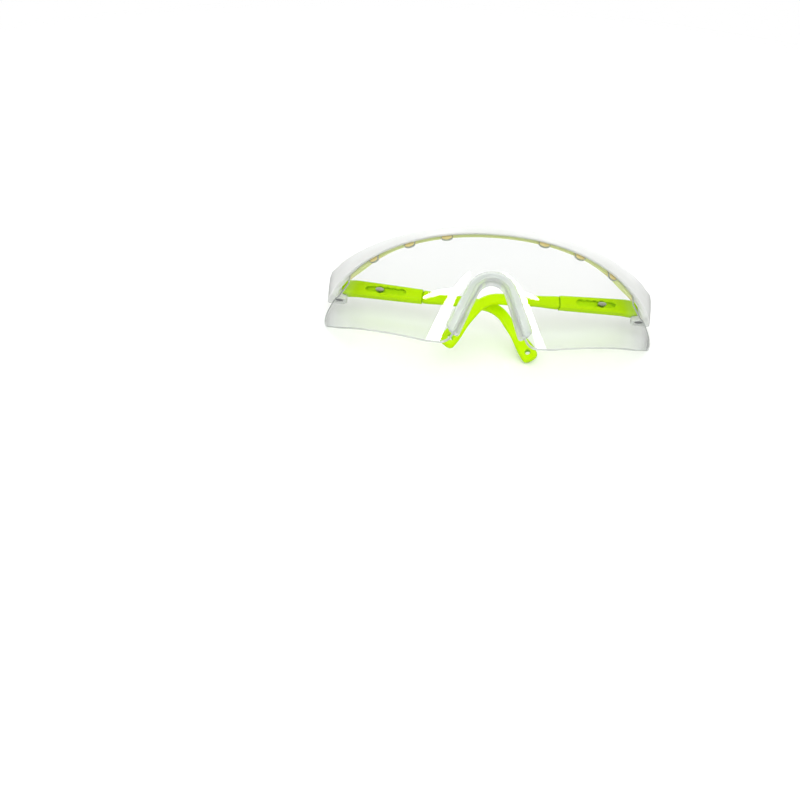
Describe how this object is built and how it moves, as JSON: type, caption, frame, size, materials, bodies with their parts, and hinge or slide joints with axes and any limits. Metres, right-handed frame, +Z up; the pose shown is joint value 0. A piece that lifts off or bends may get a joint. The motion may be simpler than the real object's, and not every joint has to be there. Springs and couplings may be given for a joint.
{
  "type": "sports protective goggles",
  "caption": "Wraparound clear-lens sports eye guard with a white brow bar, soft nose piece and lime folding temples whose ear pieces slide out, shown folded and laid back.",
  "frame": {"origin": "middle of the bounding box, on the table under the folded goggles", "axes": "+X to the viewer's right along the width, +Y away from the viewer, +Z up; the lens faces -Y and leans back"},
  "size_m": [0.1378, 0.0606, 0.0574],
  "materials": {
    "clear_polycarbonate": "clear polished polycarbonate",
    "white_plastic": "glossy milky white",
    "lime_plastic": "glossy lime green",
    "soft_clear": "soft, clear grey",
    "soft_lime": "soft, pale yellow-green",
    "steel": "bright turned"
  },
  "bodies": {
    "frame": {"lens": "clear_polycarbonate", "brow_bar": "white_plastic", "brow_pad": "soft_lime", "nose_piece": "soft_clear", "hinge_pin_left": "steel", "hinge_pin_right": "steel"},
    "temple_left": {"temple_sleeve_left": "lime_plastic"},
    "temple_right": {"temple_sleeve_right": "lime_plastic"},
    "ear_left": {"temple_ear_piece_left": "lime_plastic", "length_stud_left": "steel"},
    "ear_right": {"temple_ear_piece_right": "lime_plastic", "length_stud_right": "steel"}
  },
  "joints": [
    {"name": "fold_left", "type": "hinge", "parent": "frame", "child": "temple_left", "pos_m": [-0.06255, 0.02372, 0.01295], "axis": [0, 0.7648, 0.6443], "range_deg": [0, 101]},
    {"name": "fold_right", "type": "hinge", "parent": "frame", "child": "temple_right", "pos_m": [0.06255, 0.02372, 0.01295], "axis": [0, -0.7648, -0.6443], "range_deg": [0, 104.1]},
    {"name": "length_left", "type": "slide", "parent": "temple_left", "child": "ear_left", "axis": [0.9873, -0.1567, 0.0265], "range_m": [0, 0.009]},
    {"name": "length_right", "type": "slide", "parent": "temple_right", "child": "ear_right", "axis": [-0.963, -0.2391, 0.1242], "range_m": [0, 0.009]}
  ],
  "couplings": [
    {"joint": "fold_right", "follows": "fold_left", "ratio": 1.03}
  ]
}
